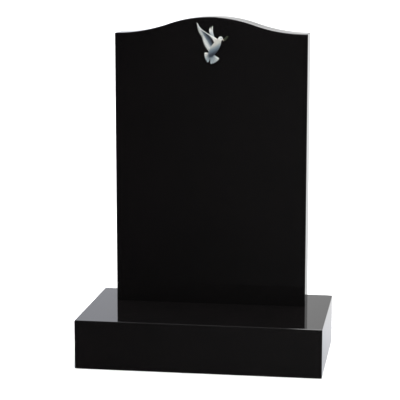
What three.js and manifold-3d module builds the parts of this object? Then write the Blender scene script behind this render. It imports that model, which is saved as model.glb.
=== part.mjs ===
// A polished black granite headstone: an upright stone with an ogee head, set back on a long low base.
// Millimetres, +Z up. The stone faces -Y, and the origin is the centre of the base's underside.

import * as THREE from "three";
import { ConvexGeometry } from "three/addons/geometries/ConvexGeometry.js";
import { mergeVertices } from "three/addons/utils/BufferGeometryUtils.js";
import Module from "manifold-3d";

const wasm = await Module();
wasm.setup();

// Driving dimensions of the base.
const baseWidth = 762;
const baseDepth = 457.2;
const baseHeight = 152.4;

// Driving dimensions of the upright stone.
const stoneWidth = 609.6;
const stoneThickness = 101.6;
const shoulderHeight = 863.6; // from the foot of the stone to its shoulders
const headRise = 50.8; // of the crest above the shoulders
const crestHalfSpan = 137; // from the centre line to where the crest's arc meets a shoulder's arc
const frontLedge = 285.75; // of the base, left bare in front of the stone

// Finish and fit.
const arris = 2.4; // width of the chamfer that takes the edge off each sharp corner
const bedJoint = 0.3; // between the top of the base and the foot of the stone

const headArcSteps = 14; // straight steps in each half of one of the head's arcs

const granite = { color: 0x0b0b0c, roughness: 0.08, metalness: 0 };

// The merged positions and faces of a geometry, as a solid that can be cut.
function toSolid(geometry) {
  const bare = geometry.clone();
  bare.deleteAttribute("normal");
  bare.deleteAttribute("uv");
  const merged = mergeVertices(bare, 1e-4);
  return new wasm.Manifold(
    new wasm.Mesh({
      numProp: 3,
      vertProperties: merged.attributes.position.array,
      triVerts: new Uint32Array(merged.index.array),
    }),
  );
}

// A cut solid, as a geometry with flat faces.
function toGeometry(solid) {
  const cut = solid.getMesh();
  const indexed = new THREE.BufferGeometry();
  indexed.setAttribute("position", new THREE.BufferAttribute(cut.vertProperties, cut.numProp));
  indexed.setIndex(new THREE.BufferAttribute(cut.triVerts, 1));
  const geometry = indexed.toNonIndexed();
  geometry.computeVertexNormals();
  return geometry;
}

// The front outline of the stone, with its foot on y = -spare.
// The head is an ogee: a round crest that runs smoothly into a hollow arc on each side, level at the shoulders.
function stoneOutline(spare) {
  const halfWidth = stoneWidth / 2;
  const shoulderEnd = halfWidth - arris;
  const turn = 2 * Math.atan(headRise / shoulderEnd);
  const crestRadius = crestHalfSpan / Math.sin(turn);
  const hollowRadius = (shoulderEnd - crestHalfSpan) / Math.sin(turn);
  const hollowCentre = shoulderHeight + hollowRadius;
  const crestCentre = shoulderHeight + headRise - crestRadius;
  const up = Math.PI / 2;

  const outline = new THREE.Shape();
  outline.moveTo(-halfWidth, -spare);
  outline.lineTo(halfWidth, -spare);
  outline.lineTo(halfWidth, shoulderHeight - arris);
  outline.lineTo(shoulderEnd, shoulderHeight);
  outline.absarc(shoulderEnd, hollowCentre, hollowRadius, -up, -up - turn, true);
  outline.absarc(0, crestCentre, crestRadius, up - turn, up + turn, false);
  outline.absarc(-shoulderEnd, hollowCentre, hollowRadius, -up + turn, -up, true);
  outline.lineTo(-halfWidth, shoulderHeight - arris);
  outline.closePath();
  return outline;
}

// The upright stone: its outline carried through the thickness, with an arris round both faces,
// and the foot sawn off square below the arris.
function headstoneGeometry() {
  const spare = 2 * arris;
  const slab = new THREE.ExtrudeGeometry(stoneOutline(spare), {
    depth: stoneThickness - 2 * arris,
    curveSegments: headArcSteps,
    bevelEnabled: true,
    bevelThickness: arris,
    bevelSize: arris,
    bevelOffset: -arris,
    bevelSegments: 1,
  });
  slab.translate(0, 0, arris - stoneThickness / 2);
  slab.rotateX(Math.PI / 2);

  const saw = new THREE.BoxGeometry(2 * stoneWidth, 2 * stoneThickness, 2 * spare);
  saw.translate(0, 0, -spare);
  return toGeometry(toSolid(slab).subtract(toSolid(saw)));
}

// The base: a block with an arris on its top and upright edges, and a sawn underside.
function baseGeometry() {
  const halfWidth = baseWidth / 2;
  const halfDepth = baseDepth / 2;
  const corners = [];
  for (const x of [-1, 1]) {
    for (const y of [-1, 1]) {
      for (const z of [0, baseHeight - arris]) {
        corners.push(new THREE.Vector3(x * halfWidth, y * (halfDepth - arris), z));
        corners.push(new THREE.Vector3(x * (halfWidth - arris), y * halfDepth, z));
      }
      corners.push(new THREE.Vector3(x * (halfWidth - arris), y * (halfDepth - arris), baseHeight));
    }
  }
  return new ConvexGeometry(corners);
}

function piece(name, geometry) {
  const mesh = new THREE.Mesh(geometry, new THREE.MeshStandardMaterial(granite));
  mesh.name = name;
  return mesh;
}

const base = piece("base", baseGeometry());

const headstone = piece("headstone", headstoneGeometry());
headstone.position.set(
  0,
  -baseDepth / 2 + frontLedge + stoneThickness / 2,
  baseHeight + bedJoint,
);

const memorial = new THREE.Group();
memorial.add(base, headstone);

export default memorial;
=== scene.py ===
"""A polished black granite headstone with an ogee head and a small painted dove, on its base, in a studio.

Metres, +Z up. The stone faces -Y, and the origin is the centre of the base's underside.
"""

import math

import bmesh
import bpy
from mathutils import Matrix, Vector
from mathutils.geometry import delaunay_2d_cdt


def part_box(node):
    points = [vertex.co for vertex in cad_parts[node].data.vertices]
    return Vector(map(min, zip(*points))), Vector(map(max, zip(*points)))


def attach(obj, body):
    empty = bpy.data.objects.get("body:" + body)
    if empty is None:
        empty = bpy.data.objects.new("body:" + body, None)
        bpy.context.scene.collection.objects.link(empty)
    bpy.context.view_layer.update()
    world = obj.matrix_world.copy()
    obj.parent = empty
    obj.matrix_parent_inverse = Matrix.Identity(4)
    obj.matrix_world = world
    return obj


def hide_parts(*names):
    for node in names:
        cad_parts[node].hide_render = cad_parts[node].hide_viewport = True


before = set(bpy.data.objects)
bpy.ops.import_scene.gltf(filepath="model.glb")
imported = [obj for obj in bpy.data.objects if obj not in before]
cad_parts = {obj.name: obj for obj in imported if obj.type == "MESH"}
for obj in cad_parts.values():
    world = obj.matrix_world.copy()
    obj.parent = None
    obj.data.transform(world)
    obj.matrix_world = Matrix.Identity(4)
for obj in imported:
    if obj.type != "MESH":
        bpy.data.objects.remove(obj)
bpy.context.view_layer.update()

# The stones
HEAD_RISE = 0.0508  # of the crest above the shoulders
CREST_HALF_SPAN = 0.137  # from the centre line to where the crest's arc meets a shoulder's arc
ARRIS = 0.0024  # width of the chamfer that takes the edge off each sharp corner
EASED = 0.22 * ARRIS  # of the arris, at each of its edges
EASED_RISE = 0.3  # of that easing, as a share of its width
CORNER_RADIUS = 0.0036  # of the corners where two arrised edges meet
ARC_STEPS = 60  # straight steps in each half of one of the head's arcs
CORNER_STEPS = 4
SHARP_ANGLE = math.radians(35)  # an edge that turns by more is left sharp
SAWN, PAINTED = 1, 2  # places of the stones' other materials, after the polished granite

# The upright's UV map. A reach is how many metres its width takes in.
STONE_REACH = 1.56
PICTURE_REACH = 0.335
MAP_GAP = 0.008  # between the parts on the map, as a share of its width
SQUARE_ON = 0.9  # a face whose normal has this much along Y belongs to the front or the back

# The picture, in millimetres on the face: x to the right, y up, from the picture's own centre
MM = 0.001
PICTURE_DROP = 0.0845  # in metres, from the crest down to the picture's centre
PAINT_STEP = 1.5  # between the points that carry the paint's colour inside a shape
SHAFT_WIDTH = 0.4
WELD = 5e-6  # in metres: points of the outlines that are nearer to each other become one

# The camera
CAMERA_PLACE = (0.6823, -4.6616, 1.2995)
CAMERA_TURN = math.radians(8.62)  # to the left of straight on
CAMERA_DIP = math.radians(9.65)  # below level
FRAME_PIXELS = 400
FOCAL_PIXELS = 1522
SENSOR_WIDTH = 36  # in millimetres

FLOOR_REACH = 60  # from the middle of the floor to its sides


# Shapes in the plane

def arc(centre, radius, start, end, steps, outward=1):
    """Points on an arc, each with the way out of the stone there. outward is -1 on a hollow."""
    found = []
    for i in range(steps + 1):
        angle = start + (end - start) * i / steps
        way = Vector((math.cos(angle), math.sin(angle)))
        found.append((Vector(centre) + radius * way, outward * way))
    return found


def head_outline(half_width, foot, crest):
    """The stone's front outline, from its right foot up and over the head to its left foot."""
    up = math.pi / 2
    shoulder = crest - HEAD_RISE
    shoulder_end = half_width - CORNER_RADIUS
    turn = 2 * math.atan(HEAD_RISE / shoulder_end)
    crest_radius = CREST_HALF_SPAN / math.sin(turn)
    hollow_radius = (shoulder_end - CREST_HALF_SPAN) / math.sin(turn)

    corner = arc((shoulder_end, shoulder - CORNER_RADIUS), CORNER_RADIUS, 0, up, CORNER_STEPS)
    hollow = arc((shoulder_end, shoulder + hollow_radius), hollow_radius, -up, -up - turn, ARC_STEPS, -1)
    top = arc((0, crest - crest_radius), crest_radius, up - turn, up, ARC_STEPS)
    right = [(Vector((half_width, foot)), Vector((1, 0)))] + corner + hollow[1:] + top[1:]
    left = [(Vector((-p.x, p.y)), Vector((-n.x, n.y))) for p, n in reversed(right[:-1])]
    return right + left


def block_outline(half_width, half_depth):
    """The base's plan: a rectangle with rounded corners, anticlockwise from above."""
    found = []
    for quarter, (x, y) in enumerate([(1, 1), (-1, 1), (-1, -1), (1, -1)]):
        centre = (x * (half_width - CORNER_RADIUS), y * (half_depth - CORNER_RADIUS))
        start = quarter * math.pi / 2
        found += arc(centre, CORNER_RADIUS, start, start + math.pi / 2, CORNER_STEPS)
    return found


def arris_section():
    """(inset, depth) across an arris, from the face to the side: a flat chamfer with eased edges."""
    rise = EASED_RISE * EASED
    return [(ARRIS, 0.0), (ARRIS - EASED, rise), (rise, ARRIS - EASED), (0.0, ARRIS)]


# The two stones

def skin(mesh, outline, section, place, closed):
    """Faces between the rings that an outline makes at the steps of a section. Returns the rings."""
    rings = []
    for inset, depth in section:
        rings.append([mesh.verts.new(place(p - n * inset, depth)) for p, n in outline])
    count = len(outline)
    for near, far in zip(rings, rings[1:]):
        for i in range(count if closed else count - 1):
            j = (i + 1) % count
            mesh.faces.new((near[i], near[j], far[j], far[i]))
    return rings


def finish_mesh(mesh, name, materials):
    """A mesh object with its faces turned out, smooth round its corners and exactly flat on its flats."""
    bmesh.ops.recalc_face_normals(mesh, faces=mesh.faces)
    data = bpy.data.meshes.new(name)
    mesh.to_mesh(data)
    mesh.free()
    for material in materials:
        data.materials.append(material)
    data.shade_smooth()
    data.set_sharp_from_angle(angle=SHARP_ANGLE)
    made = bpy.data.objects.new(name, data)
    bpy.context.scene.collection.objects.link(made)
    flats = made.modifiers.new("flats", "WEIGHTED_NORMAL")
    flats.keep_sharp = True
    return made


def make_base(granite, sawn):
    """The base: a polished block on a sawn underside."""
    low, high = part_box("base")
    height = high.z - low.z
    section = [(0.0, 0.0)] + [(inset, height - depth) for inset, depth in reversed(arris_section())]
    mesh = bmesh.new()
    rings = skin(
        mesh,
        block_outline(high.x, high.y),
        section,
        lambda p, depth: Vector((p.x, p.y, low.z + depth)),
        closed=True,
    )
    mesh.faces.new(rings[-1])
    mesh.faces.new(rings[0]).material_index = SAWN
    made = finish_mesh(mesh, "base_block", [granite, sawn])
    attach(made, "root")
    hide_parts("base")


def make_upright(granite, sawn, paint):
    """The upright: polished all round on a sawn foot, with the dove painted on its front."""
    low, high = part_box("headstone")
    thickness = high.y - low.y
    front = arris_section()
    section = front + [(inset, thickness - depth) for inset, depth in reversed(front)]
    mesh = bmesh.new()
    rings = skin(
        mesh,
        head_outline(high.x, low.z, high.z),
        section,
        lambda p, depth: Vector((p.x, low.y + depth, p.y)),
        closed=False,
    )
    mesh.faces.new(rings[-1])
    foot = [ring[0] for ring in rings] + [ring[-1] for ring in reversed(rings)]
    mesh.faces.new(foot).material_index = SAWN
    paint_face(mesh, rings[0], Vector((0, low.y, high.z - PICTURE_DROP)))
    lay_out(mesh, low, high)
    made = finish_mesh(mesh, "upright_stone", [granite, sawn, paint])
    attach(made, "root")
    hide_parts("headstone")


def lay_out(mesh, low, high):
    """Lays the upright's faces out on its map, each seen square on, the picture's at a larger scale."""
    painted = [v.co for face in mesh.faces if face.material_index == PAINTED for v in face.verts]
    picture_low = Vector((min(p.x for p in painted), low.y, min(p.z for p in painted)))
    picture_width = (max(p.x for p in painted) - picture_low.x) / PICTURE_REACH
    size = (high - low) / STONE_REACH
    second_row = 2 * MAP_GAP + size.z
    beside = 2 * MAP_GAP + picture_width
    # For each part, the axes that run across and up the map, and the place of its lowest corner there
    places = {
        "front": (0, 2, MAP_GAP, MAP_GAP),
        "back": (0, 2, 2 * MAP_GAP + size.x, MAP_GAP),
        "right": (1, 2, 3 * MAP_GAP + 2 * size.x, MAP_GAP),
        "left": (1, 2, 4 * MAP_GAP + 2 * size.x + size.y, MAP_GAP),
        "picture": (0, 2, MAP_GAP, second_row),
        "head": (0, 1, beside, second_row),
        "foot": (0, 1, beside, second_row + MAP_GAP + size.y),
    }
    shoulder = high.z - HEAD_RISE - CORNER_RADIUS
    mesh.normal_update()
    layer = mesh.loops.layers.uv.new("OFBake")
    for face in mesh.faces:
        middle = face.calc_center_median()
        corner, reach = low, STONE_REACH
        if face.material_index == PAINTED:
            part, corner, reach = "picture", picture_low, PICTURE_REACH
        elif face.material_index == SAWN:
            part = "foot"
        elif abs(face.normal.y) > SQUARE_ON:
            part = "front" if middle.y < (low.y + high.y) / 2 else "back"
        elif middle.z > shoulder:
            part = "head"
        else:
            part = "right" if middle.x > 0 else "left"
        across, up, column, row = places[part]
        for loop in face.loops:
            offset = (loop.vert.co - corner) / reach
            loop[layer].uv = (column + offset[across], row + offset[up])


# The paint's colours

def colour(red, green, blue):
    """A colour given as it looks on a screen, from 0 to 255, as the light it reflects."""
    def light(value):
        value /= 255
        return value / 12.92 if value <= 0.04045 else ((value + 0.055) / 1.055) ** 2.4
    return Vector((light(red), light(green), light(blue)))


WHITE = colour(232, 232, 225)
CREAM = colour(188, 187, 178)
PALE = colour(160, 170, 172)
BLUE_GREY = colour(98, 114, 124)
DEEP = colour(40, 47, 60)
GAP = colour(14, 16, 22)
BEAK = colour(206, 190, 176)
LEAF = colour(92, 102, 74)
LEAF_EDGE = colour(44, 50, 36)


def mix(a, b, share):
    return a + (b - a) * min(max(share, 0), 1)


def smooth(low, high, value):
    """How far a value has come from low to high, from 0 to 1, with a soft start and end."""
    t = min(max((value - low) / (high - low), 0), 1)
    return t * t * (3 - 2 * t)


def along(root, tip):
    """A function from a point to its share of the way from root to tip."""
    way = tip - root
    return lambda p: (p - root).dot(way) / way.length_squared


# Outlines of the painted shapes

def past(*points):
    """The curve from one point past a second to a third, as a function of the share of the way."""
    a, b, c = (Vector(p) for p in points)
    control = 2 * b - (a + c) / 2
    return lambda t: a.lerp(control, t).lerp(control.lerp(c, t), t)


def smooth_loop(corners, steps=6):
    """A closed Catmull-Rom curve through a few points."""
    corners = [Vector(p) for p in corners]
    found = []
    count = len(corners)
    for i in range(count):
        a, b, c, d = (corners[(i + k) % count] for k in (-1, 0, 1, 2))
        for s in range(steps):
            t = s / steps
            straight = (c - a) * t
            square = (2 * a - 5 * b + 4 * c - d) * t * t
            cube = (3 * b - a - 3 * c + d) * t ** 3
            found.append(0.5 * (2 * b + straight + square + cube))
    return found


def ring(centre, across, up, count):
    """The outline of an ellipse."""
    angles = [math.tau * i / count for i in range(count)]
    return [centre + Vector((across * math.cos(a), up * math.sin(a))) for a in angles]


def bent(root, tip, bend, share):
    """A point on the arched line from root to tip, and the way across it there.

    bend is the arch's rise, as a share of the line's length.
    """
    way = tip - root
    rise = Vector((-way.y, way.x)) * bend
    point = root + way * share + rise * 4 * share * (1 - share)
    run = way + rise * 4 * (1 - 2 * share)
    return point, Vector((-run.y, run.x)).normalized()


def vane(root, tip, half_width, bend=0.0, point=0.3, taper=0.5, root_width=0.5, steps=9):
    """The outline of a feather or leaf.

    point is the share of its length that narrows to its end, and taper says how: 0.5 is round, 1 sharp.
    root_width is how wide it starts, as a share of its full width.
    """
    left, right = [], []
    for i in range(steps + 1):
        share = 1 - (1 - i / steps) ** 1.6
        spine, side = bent(root, tip, bend, share)
        growth = root_width + (1 - root_width) * smooth(0, 0.45, share)
        end = max(0.0, (share - 1 + point) / point)
        half = half_width * growth * max(0.0, 1 - end * end) ** taper
        left.append(spine + side * half)
        right.append(spine - side * half)
    return left + list(reversed(right[:-1]))


# The painted dove: flat shapes, the lowest first, each an outline and a colour at a point

def feather(shapes, root, tip, half_width, tones, shade=0.5, depth=0.65, **form):
    """A feather over its own shadow, from tones[0] at its root to tones[1] at its tip, with a shaft.

    shade is how far its shadow falls, and depth how dark the shadow is.
    """
    near, far = tones
    share = along(root, tip)
    cast = Vector((-0.7, -0.7)) * shade
    under = vane(root + cast, tip + cast, half_width, **form)
    shapes.append((under, lambda p: mix(near, GAP, depth)))
    blade = vane(root, tip, half_width, **form)
    shapes.append((blade, lambda p: mix(near, far, smooth(0.15, 0.95, share(p)))))
    shaft = vane(root, root.lerp(tip, 0.9), SHAFT_WIDTH / 2, bend=form.get("bend", 0.0), root_width=1.0)
    shapes.append((shaft, lambda p: mix(near, far, smooth(0.3, 1.1, share(p)) * 0.75)))


def fan(shapes, count, roots, tips, half_widths, tones, **form):
    """A row of feathers from the curve of their roots to the curve of their tips, the last one on top.

    half_widths and tones are the first feather's and the last's.
    """
    for i in range(count):
        t = i / (count - 1)
        half_width = half_widths[0] + (half_widths[1] - half_widths[0]) * t
        own = [mix(first, last, t) for first, last in zip(*tones)]
        feather(shapes, roots(t), tips(t), half_width, own, **form)


def far_wing(shapes):
    """The wing behind the back, held straight up."""
    roots = past((4, 27), (8, 23), (11.5, 19))
    tips = past((-2, 42), (-2.8, 50), (7.2, 57))
    tones = ((BLUE_GREY, WHITE), (PALE, WHITE))
    form = {"point": 0.85, "taper": 0.8, "root_width": 0.9, "bend": 0.09}
    fan(shapes, 6, roots, tips, (2.3, 2.4), tones, shade=0.3, depth=0.5, **form)


def tail(shapes):
    """Square-ended feathers spread below the body in two halves, the outer ones on top."""
    root = Vector((3, -31))
    inner_tone = mix(PALE, BLUE_GREY, 0.25)
    # Each half: the outer and the inner feather's turn and reach, the roots' tone and the outer tip's
    left = ((175, 22), (243, 28.5), mix(BLUE_GREY, DEEP, 0.8), WHITE)
    right = ((326, 28.5), (270, 30.5), mix(PALE, BLUE_GREY, 0.6), mix(WHITE, PALE, 0.4))
    count = 5
    for (outer, outer_reach), (inner, inner_reach), near, outer_tone in (left, right):
        for i in reversed(range(count)):
            share = i / (count - 1)
            turn = math.radians(outer + (inner - outer) * share)
            reach = outer_reach + (inner_reach - outer_reach) * share * share
            tip = root + Vector((math.cos(turn), math.sin(turn))) * reach
            tones = (near, mix(outer_tone, inner_tone, 1.6 * share))
            feather(shapes, root, tip, 3.1, tones, shade=1.0, depth=0.9, point=0.12, root_width=0.12)

    roots = past((8, -30), (4, -35), (-3, -30))
    tips = past((10, -38), (2, -45), (-9, -39))
    soft = (DEEP, mix(BLUE_GREY, PALE, 0.1))
    fan(shapes, 7, roots, tips, (2.6, 2.6), (soft, soft), shade=0.4, depth=0.4, point=0.7)


def breast(p):
    """The body's colour at a point, lit from above on the left."""
    run = along(Vector((14, 0)), Vector((25, -23)))(p)
    light = mix(WHITE, CREAM, smooth(-1.1, -0.2, run))
    return mix(mix(light, BLUE_GREY, smooth(-0.15, 0.6, run)), DEEP, smooth(0.45, 1.05, run))


def near_wing(shapes):
    """The wing in front: long feathers from the body out to the tip, two rows of coverts and the arm."""
    far = mix(WHITE, PALE, 0.15)
    flight = ((BLUE_GREY, far), (BLUE_GREY, far))
    roots = past((11, 4), (-7, 28), (-35, 50))
    tips = past((-6.5, -22.5), (-19, -4.8), (-25.3, 15.5))
    form = {"point": 0.55, "taper": 0.75, "bend": -0.035}
    fan(shapes, 8, lambda t: roots(0.5 * t), tips, (3.3, 3.1), flight, **form)
    tips = past((-28, 22), (-40, 43), (-43, 66))
    form = {"point": 0.6, "taper": 0.8, "bend": -0.025}
    fan(shapes, 8, lambda t: roots(0.5 + 0.5 * t), tips, (3.1, 1.3), flight, **form)

    tips = past((1, -10), (-19, 14), (-39, 56))
    coverts = ((DEEP, mix(BLUE_GREY, PALE, 0.8)), (BLUE_GREY, far))
    fan(shapes, 17, roots, tips, (2.8, 1.4), coverts, shade=0.35, depth=0.5, point=0.5, root_width=1.0)
    tips = past((3, -8), (-15.5, 17), (-38, 53))
    small = ((mix(GAP, DEEP, 0.6), mix(DEEP, BLUE_GREY, 0.6)), (DEEP, BLUE_GREY))
    fan(shapes, 20, roots, tips, (2.5, 1.2), small, shade=0.25, depth=0.4, point=0.6, root_width=1.0)

    edge = [(23, 15), (10, 23), (-6, 31.5), (-18, 39), (-32, 50), (-42.5, 65)]
    shadow = [(-31, 46.5), (-19, 35.5), (-8.5, 27), (-1.5, 18), (3, 8), (6, 1.5), (12, 0)]
    arm = [(-37, 57), (-29, 45.5), (-17, 35.5), (-6, 28), (1, 21), (7, 14.5), (12, 6), (22, 4)]
    rim = [(-41, 60), (-34.5, 47), (-25, 41), (-18, 36.8), (-6.5, 29.4), (8, 20.5)]
    hollow = along(Vector((6, 8)), Vector((-8, 26)))
    run = along(Vector((20, 10)), Vector((-38, 58)))
    shapes.append((smooth_loop(edge + shadow), lambda p: mix(GAP, DEEP, hollow(p))))
    shapes.append((smooth_loop(edge + arm), lambda p: mix(breast(p), BLUE_GREY, smooth(0.1, 0.4, run(p)))))
    shapes.append((smooth_loop(edge + rim), lambda p: mix(WHITE, PALE, 0.4 * smooth(0.2, 0.8, run(p)))))


def body(shapes):
    """The body, with fine strokes of the brush that run from the neck to the tail."""
    front = [(22, 15.6), (27, 20.5), (33.5, 19), (34, 12), (33.6, 5), (31.4, -4), (25.5, -16.5)]
    rear = [(16, -29.5), (5, -38.5), (-3, -41), (-5, -34), (-6, -24)]
    back = [(-3, -15), (3.5, -5), (9.5, 2), (14.5, 9.5)]
    shapes.append((smooth_loop(front + rear + back), breast))

    flow = past((27, 10), (15, -12), (0, -36))
    rows = 13
    for row in range(rows):
        share = 0.85 * row / (rows - 1)
        middle, ahead = flow(share), flow(share + 0.02)
        way = (ahead - middle).normalized()
        side = Vector((-way.y, way.x))
        spread = 2.4 - 1.6 * share
        for k in range(-3, 4):
            start = middle + side * spread * (k + 0.5 * (row % 2) - 0.25)
            end = start + way * 4.5 - side * 0.15 * k
            stroke = vane(start, end, 0.32, point=0.8, steps=4)
            lift = 1.1 if (row + k) % 3 else 0.9
            shapes.append((stroke, lambda p, lift=lift: breast(p) * lift))


def head(shapes):
    """The head over the neck, with its beak and eye."""
    beak = vane(Vector((35, 17)), Vector((42.8, 10.2)), 1.6, bend=0.05, point=0.85, root_width=0.9)
    shapes.append((beak, lambda p: BEAK))
    mouth = vane(Vector((37.5, 14.4)), Vector((42.2, 10.6)), 0.2, bend=0.05, root_width=1.0)
    shapes.append((mouth, lambda p: BLUE_GREY))

    crown = [(23.5, 16), (26, 21), (31, 24), (36, 22.6), (39, 17.8)]
    neck = [(35.2, 12.2), (32, 7), (29, 4), (25, 7)]
    run = along(Vector((33, 21)), Vector((28, 6)))
    light = mix(WHITE, PALE, 0.3)
    shapes.append((smooth_loop(crown + neck), lambda p: mix(light, breast(p), smooth(0.1, 0.85, run(p)))))

    eye = Vector((34, 18))
    shapes.append((ring(eye, 2.1, 1.6, 16), lambda p: mix(WHITE, BLUE_GREY, 0.75)))
    shapes.append((ring(eye, 1.0, 1.0, 14), lambda p: GAP))
    shapes.append((ring(eye + Vector((-0.25, 0.3)), 0.25, 0.25, 8), lambda p: WHITE))


def sprig(shapes):
    """A stem with leaves on both sides, held in the beak."""
    root, tip = Vector((40.5, 11)), Vector((54, 25))
    bend = -0.04
    shapes.append((vane(root, tip, 0.3, bend=bend, point=0.2), lambda p: LEAF_EDGE))
    lean = (tip - root).normalized()
    for i in range(7):
        foot, side = bent(root, tip, bend, 0.15 + 0.12 * i)
        end = foot + (side * (1 if i % 2 else -1) + lean * 1.1).normalized() * (5.2 - 0.3 * i)
        feather(shapes, foot, end, 1.3, (LEAF_EDGE, LEAF), shade=0.2, point=0.6)


def dove():
    """All the shapes of the dove and its sprig."""
    shapes = []
    for draw in (far_wing, tail, near_wing, body, head, sprig):
        draw(shapes)
    return shapes


def anticlockwise(outline):
    twice_area = sum(a.cross(b) for a, b in zip(outline, outline[1:] + outline[:1]))
    return outline if twice_area > 0 else outline[::-1]


def paint_face(mesh, rim, centre):
    """Closes the front with flat faces cut along the picture's outlines, and colours those inside them."""
    shapes = dove()
    middle = Vector((centre.x, centre.z))
    points = [Vector((v.co.x, v.co.z)) for v in rim]
    faces = [list(range(len(points)))]
    for outline, _ in shapes:
        start = len(points)
        points += [middle + p * MM for p in anticlockwise(outline)]
        faces.append(list(range(start, len(points))))
    drawn = [p for outline, _ in shapes for p in outline]
    left, right = min(p.x for p in drawn), max(p.x for p in drawn)
    low, high = min(p.y for p in drawn), max(p.y for p in drawn)
    for i in range(int((right - left) / PAINT_STEP)):
        for j in range(int((high - low) / PAINT_STEP)):
            spot = Vector((left + PAINT_STEP * (i + 0.5 * (j % 2)), low + PAINT_STEP * j))
            points.append(middle + spot * MM)

    # The 1 asks for the triangles inside the outlines only, and True for where each one comes from
    found, _, triangles, origins, _, covers = delaunay_2d_cdt(points, [], faces, 1, WELD, True)
    corners = []
    for place, sources in zip(found, origins):
        on_rim = [k for k in sources if k < len(rim)]
        corners.append(rim[on_rim[0]] if on_rim else mesh.verts.new((place.x, centre.y, place.y)))
    layer = mesh.loops.layers.float_color.new("paint")
    for triangle, over in zip(triangles, covers):
        if not over:
            continue
        made = mesh.faces.new([corners[k] for k in triangle])
        top = max(over)
        if top == 0:
            continue
        made.material_index = PAINTED
        tone = shapes[top - 1][1]
        for loop in made.loops:
            spot = (Vector((loop.vert.co.x, loop.vert.co.z)) - middle) / MM
            loop[layer] = (*tone(spot), 1)


# Materials

class Nodes:
    """Adds and links nodes in a material's or the world's tree."""

    def __init__(self, owner):
        owner.use_nodes = True
        self.tree = owner.node_tree
        self.tree.nodes.clear()

    def fill(self, socket, value):
        """Links a socket to another node's output, or sets its own value."""
        if isinstance(value, bpy.types.NodeSocket):
            self.tree.links.new(value, socket)
        else:
            socket.default_value = value

    def add(self, kind, settings=(), inputs=()):
        node = self.tree.nodes.new(kind)
        for name, value in dict(settings).items():
            setattr(node, name, value)
        for name, value in dict(inputs).items():
            self.fill(node.inputs[name], value)
        return node

    def remap(self, value, low, high, to_low, to_high):
        """A smooth step from to_low, where the value is low, to to_high, where it is high."""
        node = self.add(
            "ShaderNodeMapRange",
            {"interpolation_type": "SMOOTHSTEP"},
            {"Value": value, "From Min": low, "From Max": high, "To Min": to_low, "To Max": to_high},
        )
        return node.outputs["Result"]

    def math(self, operation, a, b):
        return self.add("ShaderNodeMath", {"operation": operation}, {0: a, 1: b}).outputs[0]

    def plus(self, a, b):
        return self.math("ADD", a, b)

    def times(self, a, b):
        return self.math("MULTIPLY", a, b)

    def less(self, a, b):
        return self.math("SUBTRACT", a, b)

    def mix(self, share, a, b):
        """The value that is a where share is 0 and b where it is 1."""
        return self.plus(self.times(b, share), self.times(a, self.less(1.0, share)))

    def blend(self, share, a, b, kind="MIX"):
        """The colour that is a where share is 0, and b, or b laid over a in another kind, where it is 1."""
        node = self.add("ShaderNodeMix", {"data_type": "RGBA", "blend_type": kind})
        factor, first, second = node.inputs[0], node.inputs[6], node.inputs[7]
        self.fill(factor, share)
        self.fill(first, a)
        self.fill(second, b)
        return node.outputs[2]


def surface(name, look, **constants):
    """A Principled material. look(nodes) returns what its linked inputs come from."""
    material = bpy.data.materials.new(name)
    nodes = Nodes(material)
    shader = nodes.add("ShaderNodeBsdfPrincipled", (), {**look(nodes), **constants})
    nodes.add("ShaderNodeOutputMaterial", (), {"Surface": shader.outputs[0]})
    return material


def grey(level, tint=(1, 1, 1)):
    """An opaque grey, tinted."""
    return (*(level * t for t in tint), 1)


def polished(nodes):
    """Fine black crystals with a few small paler ones between them, under a mirror polish."""
    place = nodes.add("ShaderNodeTexCoord").outputs["Object"]
    crystals = nodes.add("ShaderNodeTexVoronoi", (), {"Vector": place, "Scale": 900})
    tone = nodes.add("ShaderNodeSeparateColor", (), {"Color": crystals.outputs["Color"]}).outputs
    noise = nodes.add("ShaderNodeTexNoise", (), {"Vector": place, "Scale": 9, "Detail": 4})
    clouds = noise.outputs["Fac"]
    pale_one = nodes.remap(tone[0], 0.82, 0.95, 0, 1)
    middle = nodes.remap(crystals.outputs["Distance"], 0.15, 0.55, 1, 0)
    fleck = nodes.times(nodes.times(pale_one, middle), tone[1])
    dark = nodes.blend(tone[2], grey(0.0012), grey(0.0046, (1.2, 0.96, 1)))
    cloudy = nodes.blend(nodes.remap(clouds, 0.3, 0.7, 0, 0.35), dark, grey(0.0015))
    polish = nodes.remap(clouds, 0.3, 0.7, 0.02, 0.04)
    return {
        "Base Color": nodes.blend(fleck, cloudy, grey(0.015, (0.95, 1, 1.08))),
        "Roughness": nodes.plus(polish, nodes.times(fleck, 0.05)),
    }


def sawn(nodes):
    """Granite as the saw leaves it: grey, with shallow tracks along its length."""
    place = nodes.add("ShaderNodeTexCoord").outputs["Object"]
    crystals = nodes.add("ShaderNodeTexVoronoi", (), {"Vector": place, "Scale": 520})
    tone = nodes.add("ShaderNodeSeparateColor", (), {"Color": crystals.outputs["Color"]}).outputs[0]
    tracks = nodes.add(
        "ShaderNodeTexWave",
        {"bands_direction": "Y"},
        {"Vector": place, "Scale": 60, "Distortion": 1.2, "Detail": 3},
    )
    height = nodes.plus(tracks.outputs["Fac"], nodes.times(tone, 0.5))
    bump = nodes.add("ShaderNodeBump", (), {"Strength": 0.5, "Distance": 0.0003, "Height": height})
    return {
        "Base Color": nodes.blend(tone, grey(0.05), grey(0.11, (0.97, 1, 1.03))),
        "Roughness": nodes.remap(tone, 0, 1, 0.55, 0.75),
        "Normal": bump.outputs["Normal"],
    }


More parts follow.
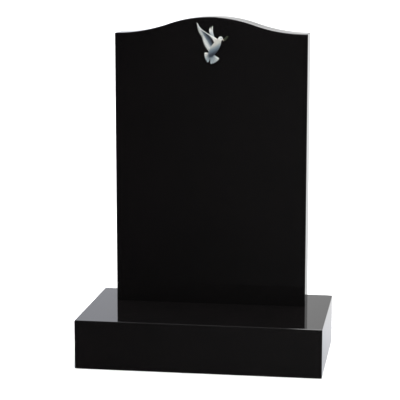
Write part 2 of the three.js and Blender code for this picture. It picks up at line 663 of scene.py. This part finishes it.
def enamel(nodes):
    """Thin hand-laid paint, with a trace of the brush in its colour and its shine."""
    place = nodes.add("ShaderNodeTexCoord").outputs["Object"]
    paint = nodes.add("ShaderNodeVertexColor", {"layer_name": "paint"}).outputs["Color"]
    noise = nodes.add("ShaderNodeTexNoise", (), {"Vector": place, "Scale": 900, "Detail": 3})
    strokes = noise.outputs["Fac"]
    cover = nodes.blend(nodes.remap(strokes, 0.3, 0.7, 0, 1), grey(0.9), grey(1))
    return {
        "Base Color": nodes.blend(1, paint, cover, "MULTIPLY"),
        "Roughness": nodes.remap(strokes, 0.3, 0.7, 0.32, 0.45),
    }


def pale(nodes):
    """A matt white."""
    return {"Base Color": grey(0.85), "Roughness": 0.9}


# The studio

def make_floor():
    """A pale floor that the polished stone doesn't mirror."""
    data = bpy.data.meshes.new("floor")
    corners = [(-1, -1, 0), (1, -1, 0), (1, 1, 0), (-1, 1, 0)]
    data.from_pydata([FLOOR_REACH * Vector(corner) for corner in corners], [], [(0, 1, 2, 3)])
    data.materials.append(surface("pale_floor", pale))
    floor = bpy.data.objects.new("floor", data)
    bpy.context.scene.collection.objects.link(floor)
    floor.visible_glossy = False


def make_light():
    """A white sweep behind and below, a dark room in front and a strip of light overhead."""
    world = bpy.data.worlds.new("studio")
    bpy.context.scene.world = world
    nodes = Nodes(world)
    way = nodes.add("ShaderNodeTexCoord").outputs["Generated"]
    x, y, z = nodes.add("ShaderNodeSeparateXYZ", (), {"Vector": way}).outputs

    # The sweep behind, with a brighter band low down, and dimmer to the right above the horizon
    low = nodes.remap(z, -0.3, -0.12, 0.81, 1.1)
    band = nodes.times(nodes.remap(z, -0.27, -0.248, 0, 0.12), nodes.remap(z, -0.235, -0.222, 1, 0))
    high = nodes.remap(x, -0.3, 0.2, 0.95, 0.42)
    back = nodes.mix(nodes.remap(z, -0.02, 0.16, 0, 1), nodes.plus(low, band), high)

    # The dark room in front, a little lighter to the right, at the floor and above the horizon
    front = nodes.remap(x, -0.22, -0.06, 0.025, 0.085)
    front = nodes.plus(front, nodes.remap(z, -0.25, -0.2, 0.03, 0))
    front = nodes.plus(front, nodes.remap(z, 0.1, 0.2, 0, 0.1))
    sides = nodes.mix(nodes.remap(y, -0.3, 0.3, 0, 1), front, back)

    # A soft light overhead behind, and the strip overhead in front, which is dark on the left
    rear_light = nodes.times(nodes.remap(z, 0.5, 0.8, 0, 3.2), nodes.remap(y, -0.1, 0.1, 0, 1))
    strip = nodes.plus(nodes.remap(x, -0.09, -0.0735, 0.15, 7.3), nodes.remap(x, -0.05, 0.15, 0, 10))
    strip = nodes.times(strip, nodes.remap(z, 0.84, 0.9, 0, 1))
    strip = nodes.times(strip, nodes.remap(y, -0.5, -0.4, 0, 1))
    strip = nodes.times(strip, nodes.remap(y, -0.05, 0.05, 1, 0))
    lit = nodes.plus(sides, nodes.plus(rear_light, strip))

    # The sweep is a little cool on the left and low down, and plain white where it is seen directly
    seen = nodes.add("ShaderNodeLightPath").outputs["Is Camera Ray"]
    left = nodes.remap(x, -0.22, -0.12, 1, 0)
    cool = nodes.math("MAXIMUM", left, nodes.remap(z, -0.262, -0.215, 0.6, 0))
    cool = nodes.times(cool, nodes.remap(y, -0.1, 0.1, 0, 1))
    cool = nodes.times(cool, nodes.less(1.0, seen))
    tint = nodes.blend(cool, grey(1), grey(0.96, (0.965, 0.985, 1.065)))
    strength = nodes.mix(seen, lit, 1.0)
    background = nodes.add("ShaderNodeBackground", (), {"Color": tint, "Strength": strength})
    nodes.add("ShaderNodeOutputWorld", (), {"Surface": background.outputs[0]})
    bpy.context.scene.view_settings.view_transform = "Standard"


def make_camera():
    data = bpy.data.cameras.new("camera")
    data.sensor_width = SENSOR_WIDTH
    data.lens = FOCAL_PIXELS / FRAME_PIXELS * SENSOR_WIDTH
    camera = bpy.data.objects.new("camera", data)
    camera.location = CAMERA_PLACE
    camera.rotation_euler = (math.pi / 2 - CAMERA_DIP, 0, CAMERA_TURN)
    bpy.context.scene.collection.objects.link(camera)
    bpy.context.scene.camera = camera


make_camera()
make_light()
make_floor()
granite = surface("polished_black_granite", polished, IOR=1.5)
sawn_granite = surface("sawn_granite", sawn, IOR=1.5)
dove_paint = surface("dove_enamel", enamel, IOR=1.5)
make_base(granite, sawn_granite)
make_upright(granite, sawn_granite, dove_paint)
